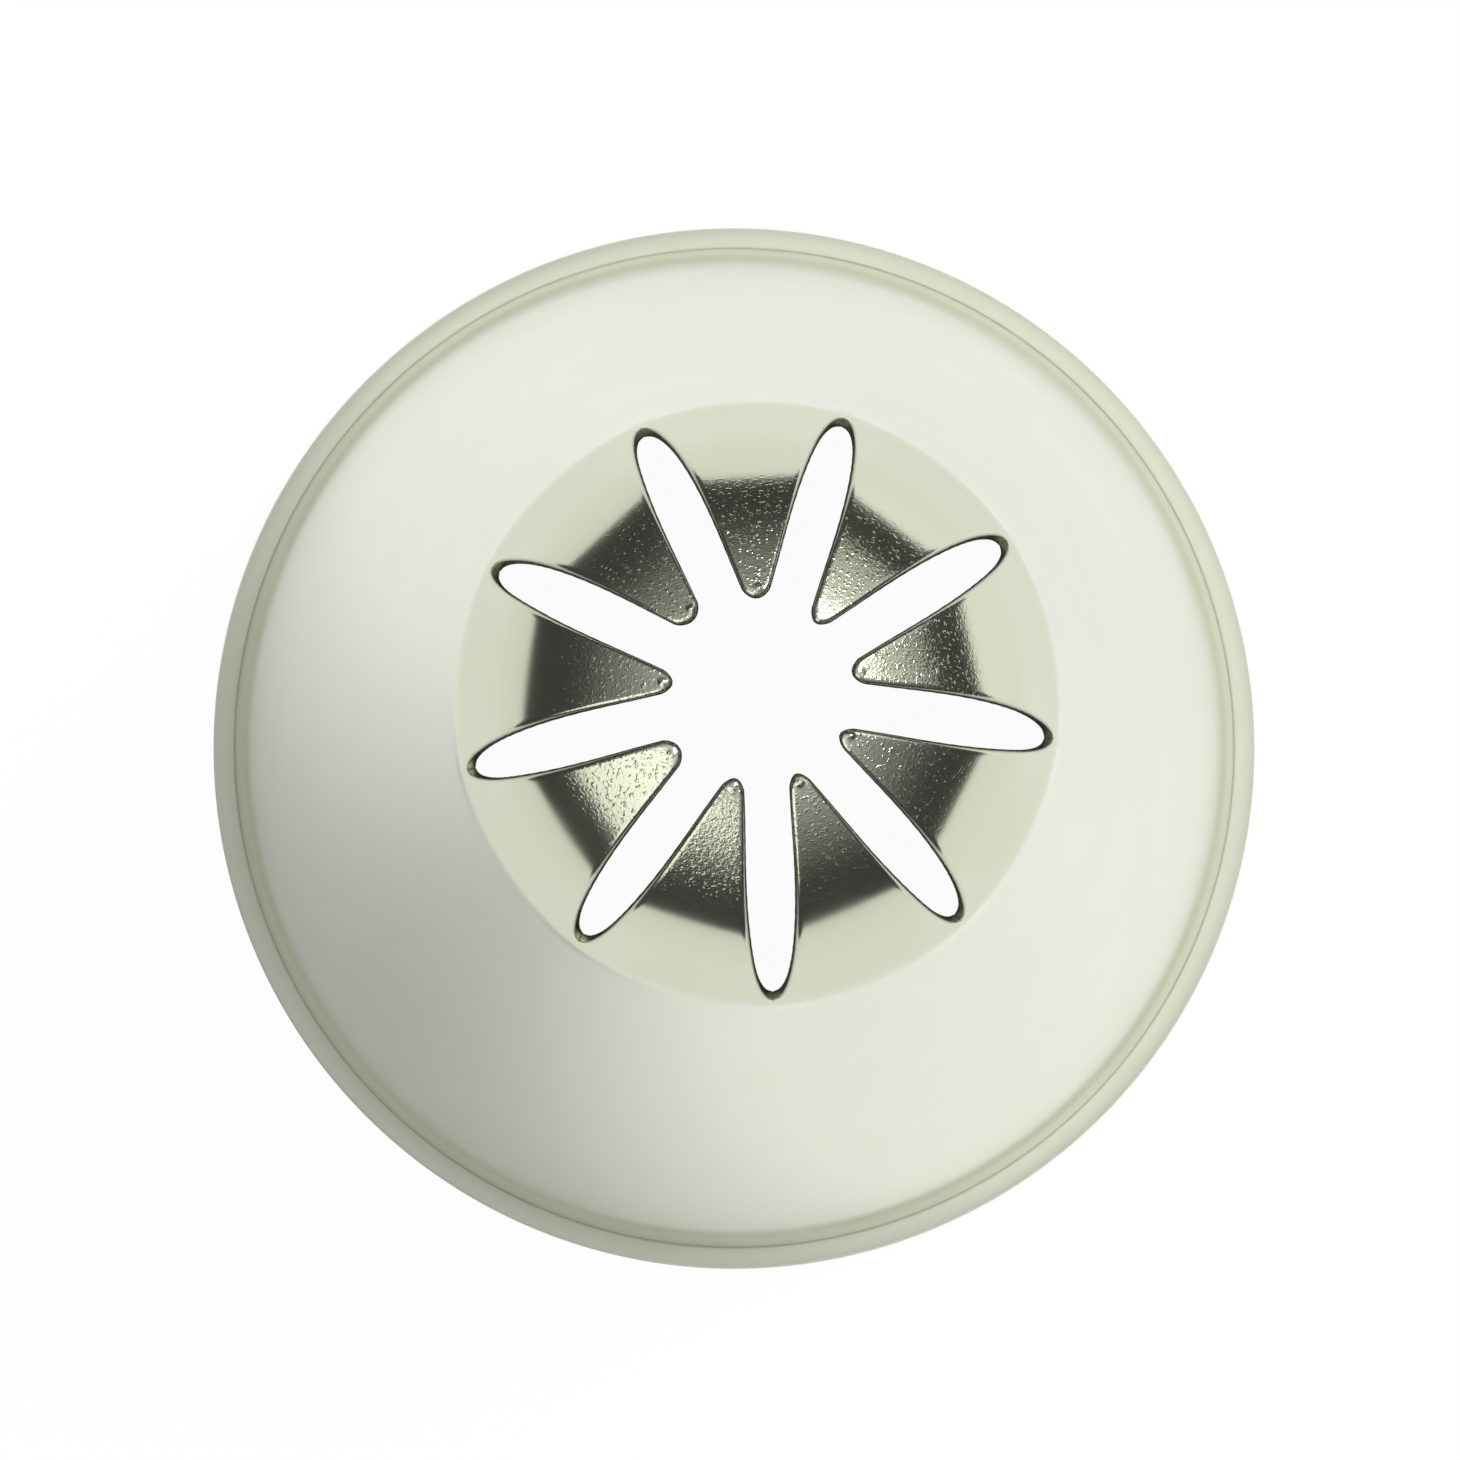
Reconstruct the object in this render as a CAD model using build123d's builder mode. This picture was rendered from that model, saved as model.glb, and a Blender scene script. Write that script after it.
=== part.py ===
from build123d import *
from math import acos, asin, atan2, ceil, cos, degrees, hypot, radians, sin, sqrt, tan
import os

# A closed-star piping nozzle, drawn from a single disc of stainless steel sheet.
# Lengths are in millimetres and angles in degrees. The nozzle stands on its rolled rim:
# the origin is the middle of the circle that it stands on, +Z runs up its axis to the
# toothed crown, and one of the slots points along -Y.

# Sheet and wall
sheet = 0.35                # thickness of the steel
nozzle_height = 35.0        # from the rim to the tips of the teeth
rim_diameter = 26.0         # over the rolled rim
shoulder_diameter = 13.9    # where the tapered wall meets the crown

# Rolled rim
curl_bore = 0.12            # hollow inside the roll
curl_gap = 0.04             # between the rolled edge of the sheet and the wall
rim_land = 0.3              # width of the flat that the nozzle stands on
outer_turn = 21.0           # the roll is drawn in flats: the turn of each on the outside
bore_turn = 72.0            # and in its hollow, which is out of sight

# Crown: a short cone above the crease, then a dome
cone_lean = 24.0            # lean of the cone from the axis
cone_draw = 0.875           # how far the cone draws in before the dome begins
crease_radius = 1.0         # bend between wall and cone, on the inside
opening_diameter = 4.16     # circle through the tips of the teeth
tip_round_share = 0.55      # roundness of a tip, as a share of its width

# Slots between the teeth
slot_count = 9
slot_width = 1.09
slot_inset = 0.07           # from the shoulder to the outer ends of the slots
slot_taper = 2.33           # stretch over which a slot narrows to its outer end
first_slot_bearing = -90.0

overrun = 0.6               # how far a cut runs past the sheet

# The bearing of a point on the dome is its angle about the dome's centre, from level at
# the outside to upright at the top. The cone touches the dome at the bearing that equals
# its own lean, and runs down from there to the shoulder.
shoulder_radius = shoulder_diameter / 2
opening_radius = opening_diameter / 2
dome_foot_radius = shoulder_radius - cone_draw
dome_radius = dome_foot_radius / cos(radians(cone_lean))
dome_height = nozzle_height - sqrt(dome_radius**2 - opening_radius**2)
dome_centre = Vector(0, dome_height)
cone_rise = cone_draw / tan(radians(cone_lean))
shoulder_height = dome_height + dome_radius * sin(radians(cone_lean)) - cone_rise
blank_bearing = degrees(acos((opening_radius - overrun) / dome_radius))

# The roll is a tube of sheet about the middle of its section, flattened where it stands.
half_bore = curl_bore / 2
roll_radius = half_bore + sheet
land_bearing = degrees(asin(rim_land / 2 / roll_radius))
roll_centre = Vector(rim_diameter / 2 - roll_radius, sqrt(roll_radius**2 - (rim_land / 2) ** 2))

# The wall's outside runs from the shoulder down to the hollow of the roll, which it touches.
wall_run = roll_centre.X - shoulder_radius
wall_rise = shoulder_height - roll_centre.Y
wall_lean = degrees(atan2(wall_run, wall_rise) - asin(half_bore / hypot(wall_run, wall_rise)))

# The insides of wall and cone meet across the sheet from the shoulder.
shoulder = Vector(shoulder_radius, shoulder_height)
across_bend = Vector(sheet / cos(radians(cone_lean - wall_lean) / 2), 0)
inner_shoulder = shoulder - across_bend.rotate(Axis.Z, (cone_lean + wall_lean) / 2)

# The sheet is rolled outwards and up until its edge all but touches the wall again.
roll_end = wall_lean + degrees(acos((curl_gap - half_bore) / roll_radius))

# The width of a tooth at its tip is what two neighbouring slots leave of the opening.
tip_turn = 180 / slot_count - degrees(asin(slot_width / opening_diameter))
tip_round = tip_round_share * opening_diameter * sin(radians(tip_turn))

# The outer end of a slot is cut square to the cone, in the plane that touches cone and
# dome. Places are measured down the cone from where the dome begins.
slot_end_radius = shoulder_radius - slot_inset
taper_radius = slot_end_radius - slot_taper
end_place = (slot_end_radius - dome_foot_radius) / sin(radians(cone_lean))
taper_place = -dome_radius * sin(acos(taper_radius / dome_radius) - radians(cone_lean))
root_place = taper_place - overrun
cut_floor = sqrt((dome_radius - sheet) ** 2 - root_place**2) - overrun
cut_plane = Plane(
    origin=(0, 0, dome_height),
    x_dir=(sin(radians(cone_lean)), 0, -cos(radians(cone_lean))),
    z_dir=(cos(radians(cone_lean)), 0, sin(radians(cone_lean))),
)


def roll_line(radius, first, last, turn):
    """Even points about the middle of the roll, from one bearing to another."""
    count = ceil((last - first) / turn)
    spoke = Vector(radius, 0).rotate(Axis.Z, first)
    step = (last - first) / count
    return [roll_centre + spoke.rotate(Axis.Z, step * index) for index in range(count + 1)]


# Tool for the outer end of one slot: straight sides, then half an ellipse.
with BuildPart() as slot_cut:
    with BuildSketch(cut_plane.offset(cut_floor)):
        with BuildLine():
            narrowing = EllipticalCenterArc(
                (taper_place, 0), end_place - taper_place, slot_width / 2, start_angle=-90, arc_size=180
            )
            Polyline(
                narrowing @ 1, (root_place, slot_width / 2), (root_place, -slot_width / 2), narrowing @ 0
            )
        make_face()
    extrude(amount=dome_radius + overrun - cut_floor)

# The nozzle: one seamless piece of sheet with a rolled rim, a tapered wall and nine teeth
# that bend in over the end.
with BuildPart() as nozzle_body:
    with BuildSketch(Plane.XZ) as section:
        with BuildLine():
            dome_outside = CenterArc(dome_centre, dome_radius, cone_lean, blank_bearing - cone_lean)
            dome_inside = CenterArc(
                dome_centre, dome_radius - sheet, cone_lean, blank_bearing - cone_lean
            )
            roll_inside = Polyline(*roll_line(half_bore, 180 + wall_lean, 360 + roll_end, bore_turn))
            roll_foot = Polyline(*roll_line(roll_radius, 180 + wall_lean, 270 - land_bearing, outer_turn))
            roll_side = Polyline(*roll_line(roll_radius, land_bearing - 90, 0, outer_turn))
            roll_top = Polyline(*roll_line(roll_radius, 0, roll_end, outer_turn))
            Line(dome_outside @ 1, dome_inside @ 1)
            Polyline(dome_outside @ 0, shoulder, roll_inside @ 0)
            Line(roll_inside @ 1, roll_top @ 1)
            Line(roll_side @ 0, roll_foot @ 1)
            Polyline(roll_foot @ 0, inner_shoulder, dome_inside @ 0)
        make_face()
        outer_crease = section.vertices().sort_by_distance(shoulder)[0]
        fillet(outer_crease, crease_radius + sheet)
        inner_crease = section.vertices().sort_by_distance(inner_shoulder)[0]
        fillet(inner_crease, crease_radius)
    revolve(axis=Axis.Z)
    with BuildSketch(Plane.XY.offset(shoulder_height)) as opening:
        Circle(opening_radius)
        with PolarLocations(taper_radius / 2, slot_count, first_slot_bearing):
            Rectangle(taper_radius, slot_width)
        tip_corners = opening.vertices().sort_by_distance(Vector(0, 0))[: 2 * slot_count]
        fillet(tip_corners, tip_round)
    extrude(amount=nozzle_height + overrun - shoulder_height, mode=Mode.SUBTRACT)
    with PolarLocations(0, slot_count, first_slot_bearing):
        add(slot_cut.part, mode=Mode.SUBTRACT)

nozzle_body.part.label = "nozzle_body"
os.makedirs("parts", exist_ok=True)
export_step(nozzle_body.part, "parts/nozzle_body.step")
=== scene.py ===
from math import asin, atan2, cos, hypot, pi, radians, sin, sqrt

import bpy
import numpy as np
from mathutils import Matrix, Vector


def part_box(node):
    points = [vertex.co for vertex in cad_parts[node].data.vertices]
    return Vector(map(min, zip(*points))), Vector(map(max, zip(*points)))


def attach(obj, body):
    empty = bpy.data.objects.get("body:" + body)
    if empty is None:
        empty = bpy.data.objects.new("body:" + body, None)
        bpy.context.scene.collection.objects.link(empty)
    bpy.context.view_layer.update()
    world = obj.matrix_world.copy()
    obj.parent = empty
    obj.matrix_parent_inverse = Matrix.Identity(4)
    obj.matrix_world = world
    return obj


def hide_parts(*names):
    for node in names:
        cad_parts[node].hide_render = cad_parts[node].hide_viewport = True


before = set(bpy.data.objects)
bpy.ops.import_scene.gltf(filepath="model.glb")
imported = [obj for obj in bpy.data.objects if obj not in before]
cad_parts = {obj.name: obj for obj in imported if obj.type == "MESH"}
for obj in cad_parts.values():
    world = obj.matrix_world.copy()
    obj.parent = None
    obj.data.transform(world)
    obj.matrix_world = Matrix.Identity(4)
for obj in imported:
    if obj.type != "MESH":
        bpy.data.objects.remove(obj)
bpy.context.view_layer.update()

# The camera. The photograph was taken from straight above, from about 0.4 m, with the
# nozzle a little off the middle of the picture and leaning a little to its upper right.
MM = 0.001
photo_side = 1460                       # pixels
camera_distance = 400 * MM              # to the circle that the nozzle stands on
view_width = 36.48 * MM                 # what the picture takes in at that distance
rim_place = (4.0, -18.5)                # pixels right of and above the picture's middle
axis_lean = radians(2.35)
lean_bearing = radians(64)              # from the right of the picture, anticlockwise
object_turn = radians(3.06)             # about its own axis, anticlockwise
sensor_width = 36                       # millimetres
nearest_seen = 10 * MM
farthest_seen = 10000 * MM

camera_data = bpy.data.cameras.new("camera")
camera_data.sensor_width = sensor_width
camera_data.lens = sensor_width * camera_distance / view_width
camera_data.clip_start = nearest_seen
camera_data.clip_end = farthest_seen
camera = bpy.data.objects.new("camera", camera_data)
bpy.context.scene.collection.objects.link(camera)
bpy.context.scene.camera = camera

# The nozzle's three axes as the camera sees them: x to the right, y up, z towards it.
axis_z = Vector((sin(axis_lean) * cos(lean_bearing), sin(axis_lean) * sin(lean_bearing), cos(axis_lean)))
turned_right = Vector((cos(object_turn), sin(object_turn), 0))
axis_x = (turned_right - turned_right.dot(axis_z) * axis_z).normalized()
axis_y = axis_z.cross(axis_x)
axes_seen = Matrix((axis_x, axis_y, axis_z)).transposed()
pixel = view_width / photo_side
origin_seen = Vector((rim_place[0] * pixel, rim_place[1] * pixel, -camera_distance))
camera.matrix_world = (Matrix.Translation(origin_seen) @ axes_seen.to_4x4()).inverted()

# The nozzle. One disc of stainless steel sheet is drawn to a taper, its mouth is rolled
# outwards to a rim, and its closed end is slotted and pressed in to nine teeth that are
# flat across. The whole nozzle is then tumbled, which rounds every cut edge.
_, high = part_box("nozzle_body")
box_clearance = 0.005 * MM              # kept free inside the nozzle's box

# Sheet and rolled rim
sheet = 0.35 * MM
crown_sheet = 0.24 * MM                 # the drawn steel thins towards the teeth
thinning_length = 3 * MM                # up to the crease, over which it thins
roll_bore = 0.12 * MM                   # hollow inside the roll
roll_gap = 0.01 * MM                    # between the edge of the roll and the wall
roll_radius = roll_bore / 2 + sheet

# Crown: a crease, a short cone and a dome
shoulder_radius = 6.95 * MM             # at the crease
crease_width = 0.75 * MM                # of sheet over which the crease turns
cone_lean = radians(24)                 # from the axis
cone_length = 2.15 * MM
dome_radius = 6.65 * MM
tip_radius = 2.19 * MM                  # from the axis to the tips, on the outside
flat_from = 0.8 * MM                    # below the crease, where the wall starts to flatten
flat_at = 3.8 * MM                      # above the crease, where a tooth is flat across
crease_flatness = 0.12                  # at the crease, from 0 for round to 1 for flat

# Slots
slot_end_radius = 6.83 * MM
slot_widest_radius = 4.55 * MM
slot_half_widest = 0.598 * MM
slot_half_inner = 0.537 * MM            # where the tips begin
slot_bluntness = 2.2                    # 2 would be an ellipse
slot_end = (shoulder_radius - slot_end_radius) / sin(cone_lean)     # above the crease

# Teeth, anticlockwise from the first
tooth_count = 9
half_tooth = pi / tooth_count
first_tooth = radians(-70)
cap_length = 0.28 * MM                  # of the rounded tip of a tooth
bend_length = 1.2 * MM                  # above the slots' ends, over which a tooth bends
tooth_bends = (2.0, 2.0, 0.2, 1.2, 0.4, 0.8, 1.0, 0, 0.3)               # degrees
tooth_trims = (0, 0.03, 0, 0, 0.1, 0.25, 0, 0.12, -0.1)                 # millimetres off the tip
tooth_burrs = (0.05, 0.05, 0.02, 0, 0.05, 0.045, 0.05, 0.03, 0.025)     # millimetres high
burr_sides = (0, 0.08, 0, 0, -0.05, -0.14, 0, 0.03, 0)                  # millimetres off the middle
burr_radius = 0.125 * MM                # of the small burr left on a tip
burr_from_tip = 0.19 * MM

# Rounding of the cut edges, which grows over the first stretch of a slot and at the tip
slot_end_round = 0.02 * MM
flank_round = 0.11 * MM
tip_round = 0.12 * MM
inner_edge_round = 0.05 * MM
rounding_length = 1.2 * MM
tip_round_from = 1.5                    # cap lengths below the tip

# The mesh of one tooth and its share of the wall: numbers of rows and columns, and where
# the rows change. The short foot row keeps the wall's shading true beside the roll.
column_count = 37
roll_row_count = 36
wall_row_count = 10
slot_row_count = 31
flank_row_count = 10
burr_row_count = 10
cap_row_count = 12
foot_row = 0.1 * MM
wall_rows_to = 1.2 * MM                 # below the crease
rows_below_slots = np.array([1.0, 0.8, 0.65, 0.52, 0.42, 0.33, 0.25, 0.18, 0.12, 0.07, 0.03]) * MM
burr_rows_from = 0.6 * MM               # below the tip
cap_rows_to = radians(78)               # of the quarter turn that ends at the tip's point
cut_line_shares = (0.15, 0.85)          # through the sheet, for two lines within a cut face
line_points = 4000                      # for the running sums along the sheet
probe_length = 12 * MM
probe_points = 6000
side_points = 900                       # for distances to a tooth's two sides
end_points = 20                         # and to its tip
edge_steps = 8                          # to find where a row ends
merge_distance = 0.0002 * MM


def smooth(share):
    """0 below 0, 1 above 1, and three squares less two cubes of the share between."""
    share = np.clip(share, 0, 1)
    return share * share * (3 - 2 * share)


def sheet_line(places, lean_below, bend=0):
    """Radius, height and lean of the sheet's outside at these distances above the crease.

    The lean from the axis is the wall's below the crease, turns smoothly to the cone's
    over the crease, and grows by one over the dome's radius from where the cone ends. A
    tooth's own bend is added over a short stretch above the slots' outer ends. Radius and
    height are the running sums of minus its sine and of its cosine.
    """
    fine = np.linspace(min(places.min(), 0) - crease_width, places.max(), line_points)
    lean = lean_below + (cone_lean - lean_below) * smooth(fine / crease_width + 0.5)
    lean = lean + np.maximum(fine - cone_length, 0) / dome_radius
    lean = lean + bend * smooth((fine - slot_end) / bend_length)
    step = np.diff(fine)
    middle = (lean[1:] + lean[:-1]) / 2
    radius = np.concatenate(([0], np.cumsum(-np.sin(middle) * step)))
    height = np.concatenate(([0], np.cumsum(np.cos(middle) * step)))
    radius += shoulder_radius - np.interp(0, fine, radius)
    height -= np.interp(0, fine, height)
    return (
        np.interp(places, fine, radius),
        np.interp(places, fine, height),
        np.interp(places, fine, lean),
    )


# Distances above the crease of the tips and of the slots' widest point, and the height of
# the tips. A rough lean of the wall is near enough for the crown's own shape.
rough_lean = radians(10.5)
probe = np.linspace(0, probe_length, probe_points)
probe_radius, probe_height, _ = sheet_line(probe, rough_lean)
tip_place = float(np.interp(-tip_radius, -probe_radius, probe))
widest_place = float(np.interp(-slot_widest_radius, -probe_radius, probe))
crown_rise = float(np.interp(tip_place, probe, probe_height))

# The wall's outside touches the hollow of the roll and meets the crown at the crease.
roll_height = roll_radius + box_clearance
roll_middle = high.x - box_clearance - roll_radius
shoulder_height = high.z - box_clearance - crown_rise
wall_run = roll_middle - shoulder_radius
wall_rise = shoulder_height - roll_height
wall_lean = atan2(wall_run, wall_rise) - asin(roll_bore / 2 / hypot(wall_run, wall_rise))
wall_length = sqrt(wall_run**2 + wall_rise**2 - (roll_bore / 2) ** 2)
roll_end = wall_lean + np.arccos((roll_gap - roll_bore / 2) / roll_radius)

# Rows as distances above the crease: the foot, up the wall, closer together towards the
# slots' ends, then by turns of a quarter circle along the slots and the tips. Columns are
# closer together towards the sides of a tooth.
wall_rows = np.linspace(foot_row - wall_length, -wall_rows_to, wall_row_count)
wall_rows = np.concatenate(([-wall_length], wall_rows))
crease_rows = slot_end - rows_below_slots
slot_turns = np.linspace(0, pi / 2, slot_row_count)
slot_rows = slot_end + (widest_place - slot_end) * (1 - np.cos(slot_turns))
cap_rows = cap_length * (np.sin(np.linspace(0, cap_rows_to, cap_row_count + 1))[1:] - 1)
columns = np.sin(np.linspace(-pi / 2, pi / 2, column_count))


def slot_half_width(places, radius):
    """A blunt half ellipse from the slot's outer end to its widest point, narrowing a
    little from there to the tips."""
    inner = slot_half_inner + (slot_half_widest - slot_half_inner) * smooth(
        (radius - tip_radius) / (slot_widest_radius - tip_radius)
    )
    reach = np.clip((radius - slot_widest_radius) / (slot_end_radius - slot_widest_radius), 0, 1)
    outer = slot_half_widest * (1 - reach**slot_bluntness) ** (1 / slot_bluntness)
    return np.where(places <= slot_end, 0, np.where(radius > slot_widest_radius, outer, inner))


def tooth_skin(places, tip, bend):
    """One ninth of the sheet's outside, about the middle of a tooth, its normals and its
    half width.

    Across a row, the distance out from the axis is the root of radius squared less the
    offset squared where the sheet is round, the radius itself where it is flat, and a
    mix of the two between. A row ends where that point is half a slot's width from the
    plane through the middle of the slot, and in the tip's cap it narrows as a half circle.
    """
    radius, height, lean = sheet_line(places, wall_lean, bend)
    below = crease_flatness * smooth(1 + places / flat_from)
    above = (1 - crease_flatness) * smooth(places / flat_at)
    flatness = below + above
    gap = slot_half_width(places, sheet_line(places, wall_lean)[0])
    edge = radius * sin(half_tooth) - gap
    for _ in range(edge_steps):
        arc = np.sqrt(radius**2 - edge**2)
        out = (1 - flatness) * arc + flatness * radius
        miss = out * sin(half_tooth) - edge * cos(half_tooth) - gap
        slope = -(1 - flatness) * edge / arc * sin(half_tooth) - cos(half_tooth)
        edge = edge - miss / slope
    cap = np.clip((places - tip) / cap_length + 1, 0, 1)
    edge = edge * np.sqrt(1 - cap**2)
    offset = edge[:, None] * columns[None, :]
    arc = np.sqrt(radius[:, None] ** 2 - offset**2)
    out = (1 - flatness)[:, None] * arc + flatness[:, None] * radius[:, None]
    points = np.stack((out, offset, np.broadcast_to(height[:, None], out.shape)), axis=2)
    across = (1 - flatness)[:, None] * offset / arc
    whole_row = np.ones_like(across)
    rise = np.cos(lean)[:, None]
    draw_in = np.sin(lean)[:, None]
    normals = np.stack((rise * whole_row, rise * across, draw_in * whole_row), axis=2)
    normals /= np.linalg.norm(normals, axis=2, keepdims=True)
    return points, normals, edge


def edge_distance(places, edge):
    """Distance in the sheet from each mesh point to the cut edge of its tooth: the least
    of its distances to close points along both sides and across the tip."""
    cut = places >= slot_end
    fine = np.interp(np.linspace(0, cut.sum() - 1, side_points), np.arange(cut.sum()), places[cut])
    side = np.interp(fine, places[cut], edge[cut])
    end = np.linspace(-edge[-1], edge[-1], end_points)
    right_side = np.stack((fine, side), axis=1)
    left_side = np.stack((fine, -side), axis=1)
    tip_end = np.stack((np.full(end_points, places[-1]), end), axis=1)
    line = np.concatenate((right_side, left_side, tip_end))
    offset = edge[:, None] * columns[None, :]
    away_up = places[:, None, None] - line[None, None, :, 0]
    away_across = offset[:, :, None] - line[None, None, :, 1]
    return np.sqrt((away_up**2 + away_across**2).min(axis=2))


def edge_drop(distance, rounding):
    """How far a rounded edge lies below the flat of the sheet: a quarter circle."""
    inside = np.clip(rounding - distance, 0, rounding)
    return rounding - np.sqrt(rounding**2 - inside**2)


# The roll, from its edge back to the wall: two circles about its middle.
roll_turns = np.linspace(2 * pi + roll_end, pi + wall_lean, roll_row_count + 1)[:-1]
side_turns = np.arcsin(columns * sin(half_tooth))
spokes = np.stack((np.cos(side_turns), np.sin(side_turns)), axis=1)


def roll_skin(radius):
    """A circle of this radius about the middle of the roll, carried round the axis."""
    out = roll_middle + radius * np.cos(roll_turns)
    up = roll_height + radius * np.sin(roll_turns)
    flat = out[:, None, None] * spokes[None, :, :]
    return np.concatenate((flat, np.broadcast_to(up[:, None, None], flat.shape[:2] + (1,))), axis=2)


# Point numbers of one skin by row and column, and along its cut edge from one side of the
# tooth round the tip to the other.
cut_row = roll_row_count + len(wall_rows) + len(crease_rows)
row_count = cut_row + slot_row_count + flank_row_count + burr_row_count + cap_row_count
skin_number = np.arange(row_count * column_count).reshape(row_count, column_count)
cut_line = np.concatenate(
    (skin_number[cut_row:, 0], skin_number[-1, 1:-1], skin_number[cut_row:, -1][::-1])
)


def sector(bend, trim, burr, burr_side):
    """Points of one ninth: outer skin, inner skin, and two lines within the cut faces.

    A burr is its height times the square of one less the squared distance from its middle
    over its radius. With the points go their distances from the cut edge, 1 on the inner
    skin and 1 on the roll.
    """
    tip = tip_place - trim
    flank_rows = np.linspace(widest_place, tip - burr_rows_from, flank_row_count + 2)[1:-1]
    burr_rows = np.linspace(tip - burr_rows_from, tip - cap_length, burr_row_count)
    rows = np.concatenate((wall_rows, crease_rows, slot_rows, flank_rows, burr_rows, tip + cap_rows))
    skin, normals, edge = tooth_skin(rows, tip, bend)
    skin[:, :, 2] += shoulder_height
    distance = np.ones(skin.shape[:2])
    distance[len(wall_rows):] = edge_distance(rows[len(wall_rows):], edge[len(wall_rows):])
    rounding = slot_end_round + (flank_round - slot_end_round) * smooth((rows - slot_end) / rounding_length)
    rounding = rounding + (tip_round - flank_round) * smooth((rows - tip) / cap_length + tip_round_from)
    offset = edge[:, None] * columns[None, :]
    from_burr = np.hypot((rows - tip + burr_from_tip)[:, None], offset - burr_side) / burr_radius
    swell = burr * (1 - np.clip(from_burr, 0, 1) ** 2) ** 2
    thickness = sheet + (crown_sheet - sheet) * smooth(rows / thinning_length + 1)
    outside = skin + normals * (swell - edge_drop(distance, rounding[:, None]))[:, :, None]
    inside = skin - normals * (thickness[:, None] - edge_drop(distance, inner_edge_round))[:, :, None]
    outside = np.concatenate((roll_skin(roll_bore / 2), outside)).reshape(-1, 3)
    inside = np.concatenate((roll_skin(roll_radius), inside)).reshape(-1, 3)
    on_roll = np.zeros(len(outside))
    on_roll[: roll_row_count * column_count] = 1
    distance = np.concatenate((np.ones(roll_row_count * column_count), distance.ravel()))
    outer_line, inner_line = outside[cut_line], inside[cut_line]
    cut_lines = [outer_line + share * (inner_line - outer_line) for share in cut_line_shares]
    cut_zeros = np.zeros(len(cut_lines) * len(cut_line))
    points = np.concatenate((outside, inside, *cut_lines))
    from_edge = np.concatenate((distance, distance, cut_zeros))
    within = np.concatenate((np.zeros(len(outside)), np.ones(len(inside)), cut_zeros))
    rolled = np.concatenate((on_roll, on_roll, cut_zeros))
    return points, from_edge, within, rolled


def strip(first, second):
    """Quads between two lines of point numbers."""
    return np.stack((first[:-1], first[1:], second[1:], second[:-1]), axis=1)


def skin_quads(numbers):
    """Quads between all neighbouring rows and columns of point numbers."""
    corners = (numbers[:-1, :-1], numbers[:-1, 1:], numbers[1:, 1:], numbers[1:, :-1])
    return np.stack([corner.ravel() for corner in corners], axis=1)


# The faces of a sector: both skins, the rolled edge, and the cut faces of slots and tip.
inner_number = skin_number + skin_number.size
near_outer_line = 2 * skin_number.size + np.arange(len(cut_line))
near_inner_line = near_outer_line + len(cut_line)
inner_cut_line = cut_line + skin_number.size
sector_quads = np.concatenate(
    (
        skin_quads(skin_number),
        skin_quads(inner_number)[:, ::-1],
        strip(inner_number[0], skin_number[0]),
        strip(cut_line, near_outer_line),
        strip(near_outer_line, near_inner_line),
        strip(near_inner_line, inner_cut_line),
    )
)

# Nine turned sectors, each with its tooth's own bend. Points that two share are merged.
points, quads, from_edge, within, rolled = [], [], [], [], []
for index in range(tooth_count):
    sector_points, sector_edge, sector_within, sector_rolled = sector(
        radians(tooth_bends[index]),
        tooth_trims[index] * MM,
        tooth_burrs[index] * MM,
        burr_sides[index] * MM,
    )
    angle = first_tooth + 2 * half_tooth * index
    turned = sector_points.copy()
    turned[:, 0] = cos(angle) * sector_points[:, 0] - sin(angle) * sector_points[:, 1]
    turned[:, 1] = sin(angle) * sector_points[:, 0] + cos(angle) * sector_points[:, 1]
    quads.append(sector_quads + len(sector_points) * index)
    points.append(turned)
    from_edge.append(sector_edge)
    within.append(sector_within)
    rolled.append(sector_rolled)
points = np.concatenate(points)
_, kept, merged = np.unique(
    np.round(points / merge_distance).astype(np.int64), axis=0, return_index=True, return_inverse=True
)
quads = merged.reshape(-1)[np.concatenate(quads)]

nozzle_mesh = bpy.data.meshes.new("nozzle")
nozzle_mesh.from_pydata(points[kept].tolist(), [], quads.tolist())
for name, values in (("from_edge", from_edge), ("within", within), ("rolled", rolled)):
    attribute = nozzle_mesh.attributes.new(name, "FLOAT", "POINT")
    attribute.data.foreach_set("value", np.concatenate(values)[kept].astype(np.float32))
nozzle_mesh.validate()
nozzle_mesh.shade_smooth()
nozzle_mesh.update()
nozzle = bpy.data.objects.new("nozzle", nozzle_mesh)
bpy.context.scene.collection.objects.link(nozzle)

# Its finish: tumbled bright and a little uneven, with faint turning lines up the wall,
# orange peel where the teeth were bent most, a satin top on the roll where it stands
# proud and rubs, and painted light on the wall's foot: a lighter colour there, so that
# its reflection of the roll and the table looks brighter.
steel_colour = (0.628, 0.643, 0.488, 1)
# Painted light: the wall's foot gets a lighter colour than the steel, so that its reflection of the roll
# and the table looks brighter.
painted_light_foot_colour = (0.82, 0.83, 0.75, 1)
cut_painted_shade_colour = (0.42, 0.43, 0.33, 1)      # painted shade: darker than the steel on the cut faces and edges, for the slots' dark outlines
satin_colour = (0.66, 0.665, 0.55, 1)
satin_metallic = 0.4
polish_roughness = (0.13, 0.16)         # from the best to the least polished patches
patch_grain = 400                       # patches to the metre
patch_noise = (0.3, 0.7)
satin_roughness = 0.55                  # more than the polish
inside_roughness = 0.15                 # more than the polish
cut_roughness = 0.2                     # more than the polish
satin_heights = (0.5 * MM, 0.7 * MM)    # where the satin starts and is full
painted_light_foot_heights = (1.6 * MM, 2.6 * MM)     # where the painted light on the wall's foot begins to fade and is gone
cut_and_shade_fade = (0.05 * MM, 0.005 * MM)      # from the edge, where its rougher finish and painted shade start and are full
peel_heights = (32.6 * MM, 34.6 * MM)   # where the orange peel starts and is full
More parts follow.
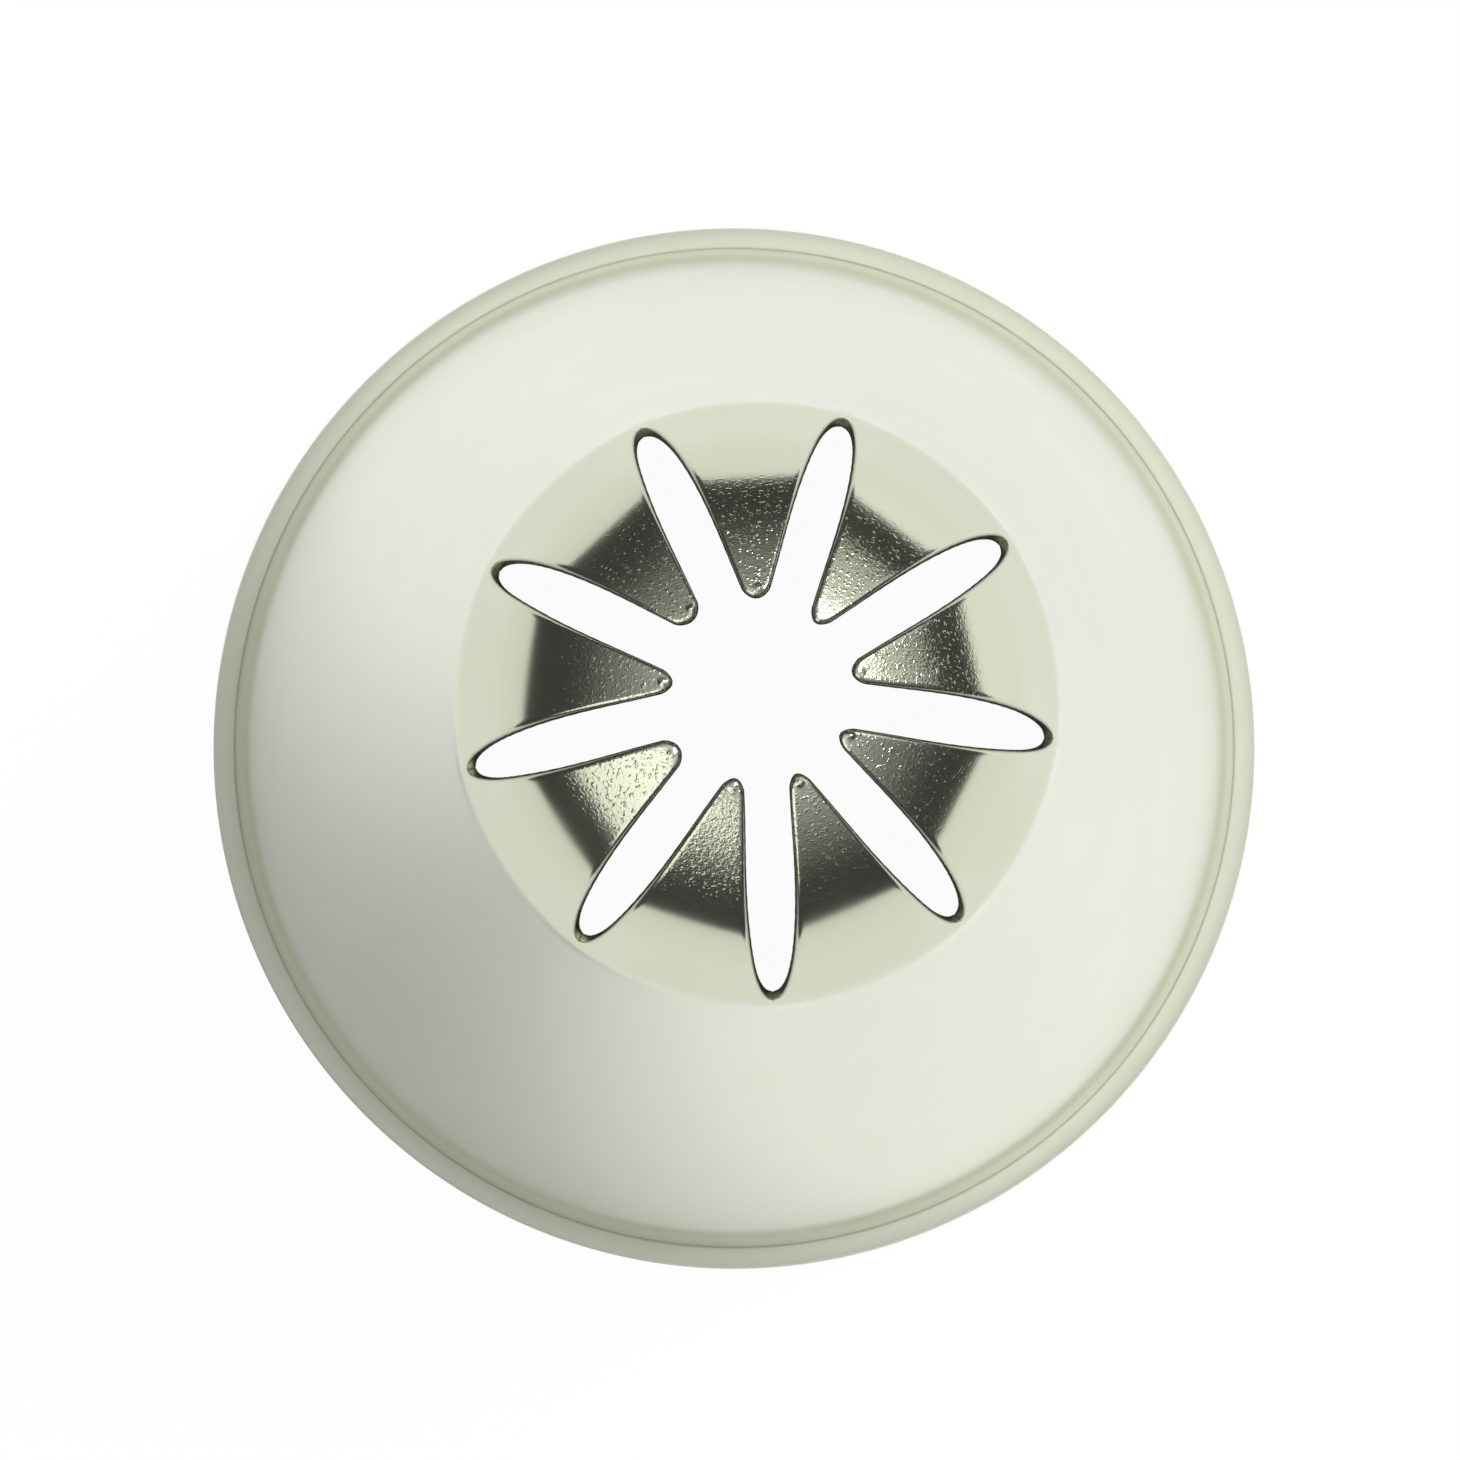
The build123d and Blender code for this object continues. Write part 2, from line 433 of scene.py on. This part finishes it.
peel_from_edge = (0.01 * MM, 0.1 * MM)  # where it starts and is full beside a cut edge
relief_depth = 0.009 * MM
peel_grain = 14000                      # grains to the metre
peel_share = 0.85                       # of the relief's depth
pimple_grain = 11000
pimple_noise = (0.55, 0.75)
pimple_share = 0.9
turning_lines = 1500                    # to the metre
turning_share = 0.2


def node(tree, kind, place, **settings):
    """A shader node at a place in the tree, with its settings."""
    made = tree.nodes.new(kind)
    made.location = place
    for name, value in settings.items():
        setattr(made, name, value)
    return made


def band(tree, place, source, span, levels):
    """A smooth step of the source from the first level to the second over a span of it."""
    made = node(tree, "ShaderNodeMapRange", place, interpolation_type="SMOOTHSTEP")
    for name, value in zip(("From Min", "From Max", "To Min", "To Max"), (*span, *levels)):
        made.inputs[name].default_value = value
    tree.links.new(source, made.inputs["Value"])
    return made.outputs["Result"]


def combine(tree, place, operation, first, second):
    """Two numbers of which at least one changes over the surface, added or multiplied."""
    made = node(tree, "ShaderNodeMath", place, operation=operation)
    for socket, value in zip(made.inputs, (first, second)):
        if isinstance(value, float):
            socket.default_value = value
        else:
            tree.links.new(value, socket)
    return made.outputs[0]


def grain(tree, place, source, scale, detail, socket="Vector", **settings):
    """Noise between 0 and 1, with grains one over the scale across, in metres."""
    made = node(tree, "ShaderNodeTexNoise", place, **settings)
    made.inputs["Scale"].default_value = scale
    made.inputs["Detail"].default_value = detail
    tree.links.new(source, made.inputs[socket])
    return made.outputs["Fac"]


def tint(tree, place, share, base, over):
    """A colour laid over a base by a share. The base is a colour or another tint."""
    made = node(tree, "ShaderNodeMix", place, data_type="RGBA")
    made.inputs["B"].default_value = over
    tree.links.new(share, made.inputs["Factor"])
    if isinstance(base, tuple):
        made.inputs["A"].default_value = base
    else:
        tree.links.new(base, made.inputs["A"])
    return made.outputs["Result"]


steel = bpy.data.materials.new("tumbled_steel")
steel.use_nodes = True
tree = steel.node_tree
shader = tree.nodes["Principled BSDF"]
where = node(tree, "ShaderNodeTexCoord", (-2000, 0)).outputs["Object"]
parted = node(tree, "ShaderNodeSeparateXYZ", (-1800, 300))
tree.links.new(where, parted.inputs[0])
height = parted.outputs["Z"]
rolled = node(tree, "ShaderNodeAttribute", (-1800, 900), attribute_name="rolled").outputs["Fac"]
from_edge = node(tree, "ShaderNodeAttribute", (-2000, -800), attribute_name="from_edge").outputs["Fac"]
within = node(tree, "ShaderNodeAttribute", (-2000, -1100), attribute_name="within").outputs["Fac"]

# Where each finish lies
satin = band(tree, (-1500, 500), height, satin_heights, (0, 1))
satin = combine(tree, (-1200, 650), "MULTIPLY", rolled, satin)
off_roll = band(tree, (-1500, 1800), rolled, (0, 1), (1, 0))
# Painted light: the lighter foot of the wall, full below the first height and gone above the second, off
# the roll.
painted_light_foot = band(tree, (-1500, 1500), height, painted_light_foot_heights, (1, 0))
painted_light_foot = combine(tree, (-1200, 1500), "MULTIPLY", painted_light_foot, off_roll)
# The cut edges: a rougher finish, and a darker colour that is painted shade.
cut = band(tree, (-1200, -800), from_edge, cut_and_shade_fade, (0, 1))
crown = band(tree, (-1500, 200), height, peel_heights, (0, 1))
off_edge = band(tree, (-1500, -800), from_edge, peel_from_edge, (0, 1))

# Its relief
peel = grain(tree, (-1700, -200), where, peel_grain, 2)
peel = combine(tree, (-1500, -50), "MULTIPLY", peel, peel_share)
pimples = grain(tree, (-1700, -500), where, pimple_grain, 1)
pimples = band(tree, (-1500, -200), pimples, pimple_noise, (0, pimple_share))
peel = combine(tree, (-1300, -200), "ADD", peel, pimples)
peel = combine(tree, (-1150, -100), "MULTIPLY", peel, crown)
peel = combine(tree, (-1000, -100), "MULTIPLY", peel, off_edge)
lines = grain(tree, (-1500, -1400), height, turning_lines, 1, socket="W", noise_dimensions="1D")
lines = combine(tree, (-1200, -1400), "MULTIPLY", lines, turning_share)
bump = node(tree, "ShaderNodeBump", (-600, -300))
bump.inputs["Distance"].default_value = relief_depth
tree.links.new(combine(tree, (-850, -300), "ADD", peel, lines), bump.inputs["Height"])
tree.links.new(bump.outputs["Normal"], shader.inputs["Normal"])

# Its roughness and colour
patches = grain(tree, (-1500, 1100), where, patch_grain, 4)
rough = band(tree, (-1200, 1100), patches, patch_noise, polish_roughness)
satin_rough = combine(tree, (-900, 650), "MULTIPLY", satin, satin_roughness)
rough = combine(tree, (-750, 900), "ADD", rough, satin_rough)
inside_rough = band(tree, (-1200, -1100), within, (0, 1), (0, inside_roughness))
rough = combine(tree, (-600, 900), "ADD", rough, inside_rough)
cut_rough = combine(tree, (-900, -800), "MULTIPLY", cut, cut_roughness)
rough = combine(tree, (-450, 900), "ADD", rough, cut_rough)
tree.links.new(rough, shader.inputs["Roughness"])
tree.links.new(band(tree, (-600, 500), satin, (0, 1), (1, satin_metallic)), shader.inputs["Metallic"])
# Painted light: the steel's colour is lightened at the wall's foot.
colour = tint(tree, (-800, 1300), painted_light_foot, steel_colour, painted_light_foot_colour)
# Painted shade: the colour is darkened at the cut faces and edges.
colour = tint(tree, (-600, 1300), cut, colour, cut_painted_shade_colour)
colour = tint(tree, (-400, 1300), satin, colour, satin_colour)
tree.links.new(colour, shader.inputs["Base Color"])
nozzle_mesh.materials.append(steel)

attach(nozzle, "root")
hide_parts("nozzle_body")

# The table: a matt white disc that the nozzle stands on. The camera sees it nearly plain
# white, with a little of its shadow left, and the steel sees it as it is lit.
table_radius = 172 * MM
table_middle = (58 * MM, 23 * MM)
table_sides = 128
table_colour = (0.9, 0.9, 0.9, 1)
plain_share = 0.96

bearings = np.linspace(0, 2 * pi, table_sides + 1)[:-1]
table_points = np.stack((np.cos(bearings), np.sin(bearings), 0 * bearings), axis=1) * table_radius
table_points[:, :2] += table_middle
table_mesh = bpy.data.meshes.new("table")
table_mesh.from_pydata(table_points.tolist(), [], [list(range(table_sides))])
table = bpy.data.objects.new("table", table_mesh)
bpy.context.scene.collection.objects.link(table)

white = bpy.data.materials.new("white_table")
white.use_nodes = True
tree = white.node_tree
tree.nodes.remove(tree.nodes["Principled BSDF"])
matt = node(tree, "ShaderNodeBsdfDiffuse", (-400, 0))
matt.inputs["Color"].default_value = table_colour
plain = node(tree, "ShaderNodeEmission", (-400, -200))
plain.inputs["Strength"].default_value = 1
paths = node(tree, "ShaderNodeLightPath", (-800, 200))
share = combine(tree, (-600, 200), "MULTIPLY", paths.outputs["Is Camera Ray"], plain_share)
mix = node(tree, "ShaderNodeMixShader", (-200, 0))
tree.links.new(share, mix.inputs[0])
tree.links.new(matt.outputs[0], mix.inputs[1])
tree.links.new(plain.outputs[0], mix.inputs[2])
tree.links.new(mix.outputs[0], tree.nodes["Material Output"].inputs["Surface"])
table_mesh.materials.append(white)


# The studio: a soft box to the upper right with a wide dim one below it, one low down to
# the lower left, and a dim room that is brightest overhead. The camera sees a white room.
def soft_box(name, bearing, zenith, distance, side, power):
    """A square lamp that faces the nozzle, at a bearing round it and an angle from overhead."""
    data = bpy.data.lights.new(name, "AREA")
    data.shape = "SQUARE"
    data.size = side
    data.energy = power
    lamp = bpy.data.objects.new(name, data)
    place = Vector((sin(zenith) * cos(bearing), sin(zenith) * sin(bearing), cos(zenith))) * distance
    lamp.location = place
    lamp.rotation_euler = place.to_track_quat("Z", "Y").to_euler()
    lamp.visible_camera = False
    bpy.context.scene.collection.objects.link(lamp)


soft_box("key", bearing=radians(33), zenith=radians(28.5), distance=0.6, side=0.26, power=2.2)
soft_box("glow", bearing=radians(33), zenith=radians(52), distance=0.6, side=0.44, power=0.33)
soft_box("fill", bearing=radians(224), zenith=radians(59), distance=0.6, side=0.46, power=0.85)

# Sine of the angle above level, and how bright the room is there.
room_tones = ((0, 0.06), (0.2, 0.07), (0.32, 0.11), (0.45, 0.2), (0.6, 0.3), (0.78, 0.5), (0.9, 0.9))
room_tint = (0.95, 1, 1.05)
white_room = (1, 1, 1, 1)

world = bpy.data.worlds.new("studio")
bpy.context.scene.world = world
world.use_nodes = True
tree = world.node_tree
direction = node(tree, "ShaderNodeTexCoord", (-1300, 0)).outputs["Generated"]
parted = node(tree, "ShaderNodeSeparateXYZ", (-1100, 0))
tree.links.new(direction, parted.inputs[0])
ramp = node(tree, "ShaderNodeValToRGB", (-900, 0))
while len(ramp.color_ramp.elements) < len(room_tones):
    ramp.color_ramp.elements.new(0.5)
for element, (level, tone) in zip(ramp.color_ramp.elements, room_tones):
    element.position = level
    element.color = (*[tone * part for part in room_tint], 1)
tree.links.new(parted.outputs["Z"], ramp.inputs[0])
paths = node(tree, "ShaderNodeLightPath", (-900, 300))
room = tint(tree, (-300, 0), paths.outputs["Is Camera Ray"], ramp.outputs["Color"], white_room)
tree.links.new(room, tree.nodes["Background"].inputs["Color"])

bpy.context.scene.view_settings.view_transform = "Standard"
